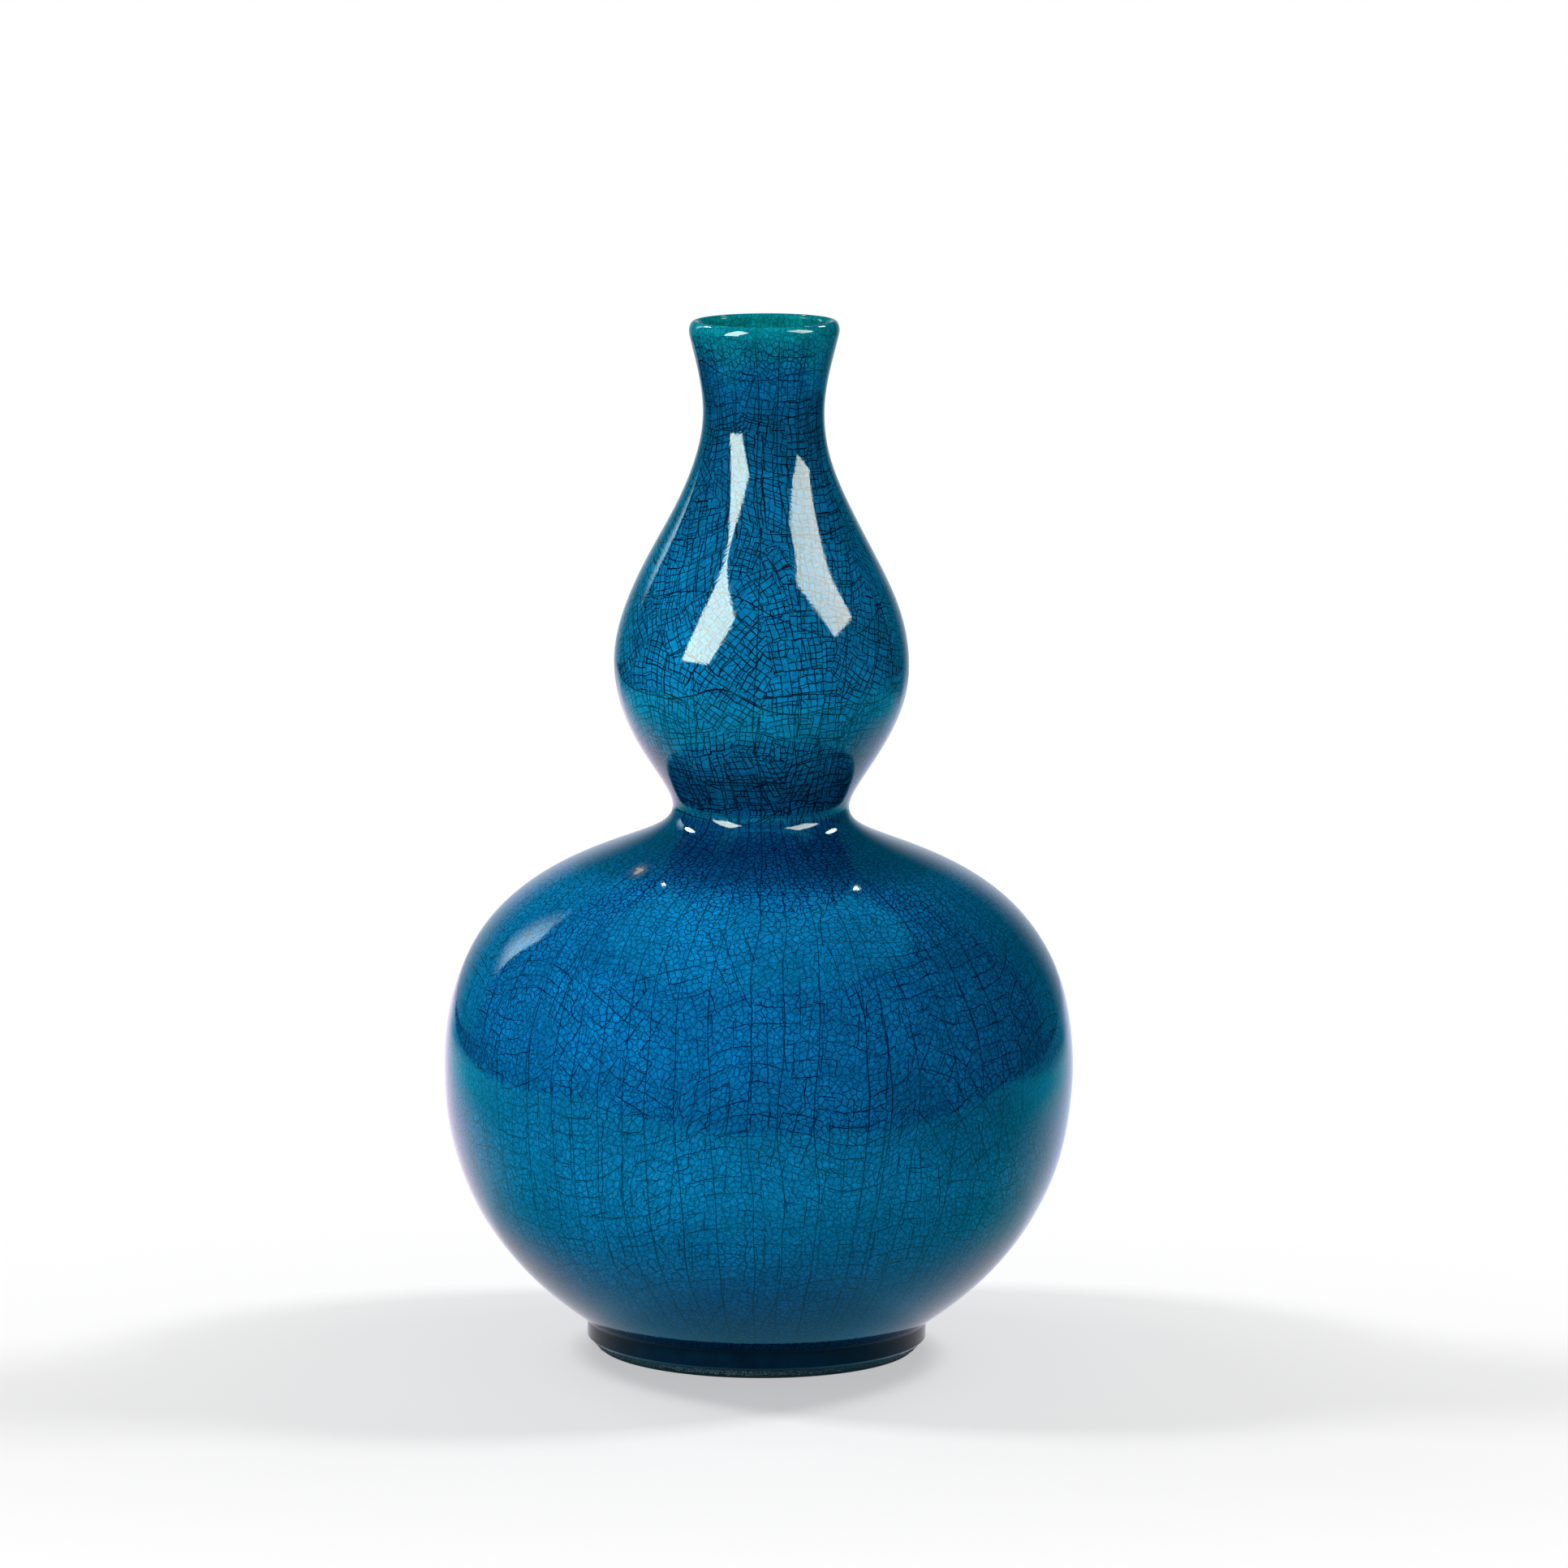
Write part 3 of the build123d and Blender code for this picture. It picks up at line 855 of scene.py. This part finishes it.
def mirrored_floor(tree, x, y):
    """Colour of the floor in the gloss: turquoise in front of the vase, lavender further back, where the
    gloss grazes it, dimmer far away and at the right."""
    aside = tree.math("ABSOLUTE", x)
    span = tree.length(x, y)
    turned_back = tree.math("ARCTAN2", y, aside)
    near_turn = tree.step(span, *NEAR_SPAN, -0.52, 0.26)
    middle_turn = tree.math("ADD", near_turn, tree.step(span, *WIDE_SPAN, 0.0, 0.61))
    half_turn = tree.step(span, *WIDE_SPAN, 0.49, 0.31)
    grazed = tree.math("DIVIDE", tree.math("SUBTRACT", turned_back, middle_turn), half_turn)
    in_front = tree.mix(tree.step(span, 0.06, 0.13), FOOT_MIRROR, FRONT_MIRROR)
    tint = tree.mix(tree.step(grazed, -1.0, 1.0), in_front, GRAZED_MIRROR)
    on_right = tree.step(x, *SIDES)
    side_tint = tree.mix(on_right, LEFT_TINT, RIGHT_TINT)
    side_tint = tree.mix(tree.step(y, -0.02, 0.20), WHITE, side_tint)
    tint = tree.mix(1.0, tint, side_tint, blend="MULTIPLY")
    tint = tree.vector("SCALE", tint, tree.step(y, 0.7, 1.3, 1.0, 0.5))
    slant = tree.math("DIVIDE", aside, tree.math("MAXIMUM", y, 0.01))
    distant = tree.step(tree.math("ADD", aside, y), 0.75, 1.25)
    far_tint = tree.mix(on_right, FAR_MIRROR, FAR_MIRROR_RIGHT)
    tint = tree.mix(tree.times(tree.step(slant, 0.35, 0.75), distant), tint, far_tint)
    unlit = tree.times(tree.step(x, 0.05, 0.30), tree.step(y, 0.00, 0.20, 0.35, 0.0))
    return tree.vector("SCALE", tint, tree.math("SUBTRACT", 1.0, unlit))


def floor_material(name):
    """Floor that keeps the shadow near the vase and is white further off."""
    material = bpy.data.materials.new(name)
    tree = Tree(material)
    x, y = tree.split(tree.place())[:2]
    reach = tree.length(tree.times(x, SHADOW_STRETCH), y)
    behind = tree.step(y, *BEHIND_FADE, FLOOR_LIFT, 1.0)
    fade = tree.math("MAXIMUM", tree.step(reach, *SHADOW_FADE, FLOOR_LIFT, 1.0), behind)
    by_camera, mirrored = tree.ray_kinds()
    seen = tree.math("MAXIMUM", by_camera, mirrored)
    tint = mirrored_floor(tree, x, y)
    white = tree.node("ShaderNodeEmission", {"Color": tree.mix(mirrored, WHITE, tint), "Strength": 1.0})
    paint = tree.mix(by_camera, BOUNCE_PAINT, TABLE_PAINT)
    paint = tree.mix(mirrored, paint, tree.mix(0.1, tint, BLACK))
    top = tree.node("ShaderNodeBsdfDiffuse", {"Color": paint})
    layers = {0: tree.times(fade, seen), 1: top.outputs[0], 2: white.outputs[0]}
    both = tree.node("ShaderNodeMixShader", layers)
    tree.node("ShaderNodeOutputMaterial", {"Surface": both.outputs[0]})
    material.cycles.emission_sampling = "NONE"
    return material


floor_mesh = bpy.data.meshes.new("floor")
floor_mesh.from_pydata([(x, y, 0.0) for x, y in TABLE], [], [list(range(len(TABLE)))])
floor_mesh.materials.append(floor_material("floor"))
floor = bpy.data.objects.new("floor", floor_mesh)
bpy.context.scene.collection.objects.link(floor)

# World: white to the camera, an even pale light, and a dark room with a dim ceiling in the gloss
AMBIENT = 0.15
CEILING_BAND = (0.77, 0.83)
ROOM = (0.012, 0.013, 0.015, 1.0)
CEILING = (0.02, 0.75, 1.00, 1.0)
world = bpy.data.worlds.new("studio")
bpy.context.scene.world = world
tree = Tree(world)
upward = tree.split(tree.node("ShaderNodeTexCoord").outputs["Generated"])[2]
by_camera, mirrored = tree.ray_kinds()
room = tree.mix(tree.step(upward, *CEILING_BAND), ROOM, CEILING)
shade = tree.mix(mirrored, (AMBIENT, AMBIENT, AMBIENT, 1.0), room)
shade = tree.mix(by_camera, shade, WHITE)
ground = tree.node("ShaderNodeBackground", {"Color": shade, "Strength": 1.0})
tree.node("ShaderNodeOutputWorld", {"Surface": ground.outputs[0]})

# Lights, in metres and degrees. Azimuth is counted from the camera's side, positive to the picture's right.
AIM = Vector((0.0, 0.0, 0.21))
LIGHT_DISTANCE = 1.3
KEY_ASIDE = -0.564
KEY_RISE = -0.230
KEY_CONE = 52.6
KEY_EDGE = 0.10
KEY_SIZE = 0.12
FLOOR_LIGHTS = [
    ("floor_left", -103.0, 45.0, 0.24, 2.0),
    ("floor_right", 111.0, 45.0, 0.24, 2.0),
    ("back_left", -130.0, 43.0, 0.42, 0.35),
    ("back_right", 130.0, 43.0, 0.42, 0.35),
]


def collection_of(name, *pieces):
    """Collection that a light or card is limited to."""
    made = bpy.data.collections.new(name)
    for piece in pieces:
        made.objects.link(piece)
    return made


def light_axes(azimuth, elevation):
    """Sideways, upward and outward directions at a place round the vase."""
    az, el = math.radians(azimuth), math.radians(elevation)
    away = Vector((math.sin(az) * math.cos(el), -math.cos(az) * math.cos(el), math.sin(el)))
    side = Vector((0, 0, 1)).cross(away).normalized()
    return side, away.cross(side), away


def place_lamp(lamp, axes, at, only):
    """Lamp without a mirror image of its own; the cards below are what the gloss shows."""
    lamp_object = bpy.data.objects.new(lamp.name, lamp)
    place = Matrix(axes).transposed().to_4x4()
    place.translation = at
    lamp_object.matrix_world = place
    lamp_object.visible_camera = False
    lamp_object.visible_glossy = False
    lamp_object.light_linking.receiver_collection = only
    bpy.context.scene.collection.objects.link(lamp_object)


def soft_light(name, azimuth, elevation, size, irradiance, only):
    """Square lamp that faces the vase."""
    axes = light_axes(azimuth, elevation)
    lamp = bpy.data.lights.new(name, "AREA")
    lamp.shape = "SQUARE"
    lamp.size = size
    lamp.energy = irradiance * math.pi * LIGHT_DISTANCE ** 2
    place_lamp(lamp, axes, AIM + axes[2] * LIGHT_DISTANCE, only)


def beam_light(name, azimuth, elevation, irradiance, only):
    """Spot lamp aimed past the vase, so that the soft side of its beam falls on it."""
    side, up, away = light_axes(azimuth, elevation)
    start = AIM + away * LIGHT_DISTANCE
    back = (start - (AIM + side * KEY_ASIDE + up * KEY_RISE)).normalized()
    level = up.cross(back).normalized()
    lamp = bpy.data.lights.new(name, "SPOT")
    lamp.energy = irradiance * 4 * math.pi * LIGHT_DISTANCE ** 2
    lamp.shadow_soft_size = KEY_SIZE
    lamp.spot_size = math.radians(KEY_CONE)
    lamp.spot_blend = KEY_EDGE
    place_lamp(lamp, (level, back.cross(level), back), start, only)


vase = collection_of("vase", lower, upper, inner, crust, *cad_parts.values())
ground_only = collection_of("ground_only", floor)
coat_top = collection_of("coat_top", upper)
lining = collection_of("lining", inner)
beam_light("key", -10.0, 30.0, 3.15, vase)
soft_light("side", -89.0, 46.0, 0.50, 0.2, vase)
for name, azimuth, elevation, size, irradiance in FLOOR_LIGHTS:
    soft_light(name, azimuth, elevation, size, irradiance, ground_only)

# Lit cards that only the gloss shows, in metres
BOX_COLOUR = (1.0, 0.52, 0.44, 1.0)
ROUND_COLOUR = (1.0, 0.9, 0.85, 1.0)
SECOND_COLOUR = (0.02, 0.12, 0.13, 1.0)
SECOND_SHARE = 0.15
LEFT_BOX = [(-0.50, -0.59), (0.085, -0.59), (0.395, 0.082), (-0.04, 0.40)]
RIGHT_BOX = [(-0.004, -0.485), (0.51, -0.34), (0.114, 0.335), (-0.41, 0.20)]
ROUND_STEPS = 16
BACK_HALF = 1.72
BACK_TOP = 1.47
BACK_LOW_GLOW = (0.88, 0.93, 1.10, 1.0)
BACK_HAZE_LEFT = (0.01, 0.30, 0.36, 1.0)
BACK_HAZE = (0.0, 0.17, 0.23, 1.0)
GLOW_PLACE = (-1.72, 1.15)
GLOW_COLOUR = (0.88, 0.97, 1.0)
GLOW_LEVEL = 3.8


def glow_material(name, colour, strength):
    """Lit card; where it shows a second time, mirrored in a mirror image, it is dim."""
    material = bpy.data.materials.new(name)
    tree = Tree(material)
    depth = tree.node("ShaderNodeLightPath").outputs["Ray Depth"]
    shown = tree.mix(tree.math("GREATER_THAN", depth, 1.5), colour, SECOND_COLOUR)
    glow = tree.node("ShaderNodeEmission", {"Color": shown, "Strength": strength})
    tree.node("ShaderNodeOutputMaterial", {"Surface": glow.outputs[0]})
    material.cycles.emission_sampling = "NONE"
    return material


def backdrop_material(name):
    """Backdrop behind the vase: bright low down in the middle and high at its left side, dim elsewhere, and
    dim throughout where it is mirrored in a mirror image."""
    material = bpy.data.materials.new(name)
    tree = Tree(material)
    across, _, height = tree.split(tree.place())
    middle = tree.step(tree.math("ABSOLUTE", across), 0.20, 1.05, 1.0, 0.0)
    low = tree.times(middle, tree.step(height, 0.20, 0.72, 0.65, 0.0))
    haze = tree.mix(tree.step(across, -0.9, 0.2), BACK_HAZE_LEFT, BACK_HAZE)
    colour = tree.mix(low, haze, BACK_LOW_GLOW)
    aside = tree.math("SUBTRACT", across, GLOW_PLACE[0])
    above = tree.math("SUBTRACT", height, GLOW_PLACE[1])
    bright = tree.step(tree.length(aside, above), 0.15, 0.80, GLOW_LEVEL, 0.0)
    bright = tree.times(bright, tree.step(height, 0.50, 0.85))
    colour = tree.vector("ADD", colour, tree.vector("SCALE", GLOW_COLOUR, bright))
    depth = tree.node("ShaderNodeLightPath").outputs["Ray Depth"]
    once = tree.step(depth, 1.4, 1.6, 1.0, SECOND_SHARE)
    glow = tree.node("ShaderNodeEmission", {"Color": colour, "Strength": once})
    tree.node("ShaderNodeOutputMaterial", {"Surface": glow.outputs[0]})
    material.cycles.emission_sampling = "NONE"
    return material


def card(name, azimuth, elevation, corners, material, only=None):
    """Card that faces the vase. Corners are across and up from its middle."""
    side, up, away = light_axes(azimuth, elevation)
    middle = AIM + away * LIGHT_DISTANCE
    mesh = bpy.data.meshes.new(name)
    mesh.from_pydata([middle + side * a + up * b for a, b in corners], [], [list(range(len(corners)))])
    mesh.materials.append(material)
    board = bpy.data.objects.new(name, mesh)
    board.visible_camera = False
    board.visible_diffuse = False
    board.visible_shadow = False
    board.light_linking.receiver_collection = only
    bpy.context.scene.collection.objects.link(board)


def round_corners(width, height):
    """Outline of a round or oval card."""
    turns = [2 * math.pi * i / ROUND_STEPS for i in range(ROUND_STEPS)]
    return [(width / 2 * math.cos(t), height / 2 * math.sin(t)) for t in turns]


back_low, back_high = -AIM.z, BACK_TOP - AIM.z
BACK_CARD = [(-BACK_HALF, back_low), (BACK_HALF, back_low), (BACK_HALF, back_high), (-BACK_HALF, back_high)]
round_glow = glow_material("round_lamp", ROUND_COLOUR, 30.0)
side_glow = glow_material("side_lamp", BOX_COLOUR, 13.0)
card("left_box", -45.0, 30.0, LEFT_BOX, glow_material("left_box", BOX_COLOUR, 44.0), coat_top)
card("right_box", 62.0, 38.0, RIGHT_BOX, glow_material("right_box", BOX_COLOUR, 31.0), coat_top)
ROUND_CARDS = [
    ("back_left_lamp", -128.0, 40.0, 0.20, 0.28, round_glow, coat_top),
    ("back_right_lamp", 128.0, 40.0, 0.20, 0.28, round_glow, coat_top),
    ("left_dot", -159.9, 47.3, 0.07, 0.07, round_glow, None),
    ("right_dot", 159.0, 48.0, 0.07, 0.07, round_glow, None),
    ("side_left_lamp", -95.0, 46.0, 0.25, 0.25, side_glow, lining),
    ("side_right_lamp", 98.0, 46.0, 0.25, 0.25, side_glow, lining),
]
for name, azimuth, elevation, width, height, glow, only in ROUND_CARDS:
    card(name, azimuth, elevation, round_corners(width, height), glow, only)
card("back_card", 180.0, 0.0, BACK_CARD, backdrop_material("back_card"))

# Camera of the photograph: 1932 pixels square, long lens
PIXELS = 1932
FOCAL_PIXELS = 11222.1
PITCH, YAW, ROLL = 0.15417, 0.00258, 0.00812
SENSOR = 36.0
CAMERA_PLACE = (0.0, -2.6, 0.569394)
camera = bpy.data.cameras.new("camera")
camera.sensor_width = SENSOR
camera.lens = FOCAL_PIXELS / PIXELS * SENSOR
camera.clip_end = 50.0
ahead = Vector((math.sin(YAW) * math.cos(PITCH), math.cos(YAW) * math.cos(PITCH), -math.sin(PITCH)))
right = Vector((math.cos(YAW), -math.sin(YAW), 0.0))
over = right.cross(ahead)
right_rolled = right * math.cos(ROLL) + over * math.sin(ROLL)
over_rolled = over * math.cos(ROLL) - right * math.sin(ROLL)
view = Matrix((right_rolled, over_rolled, -ahead)).transposed().to_4x4()
view.translation = Vector(CAMERA_PLACE)
camera_object = bpy.data.objects.new("camera", camera)
camera_object.matrix_world = view
bpy.context.scene.collection.objects.link(camera_object)
bpy.context.scene.camera = camera_object
bpy.context.scene.view_settings.view_transform = "Standard"
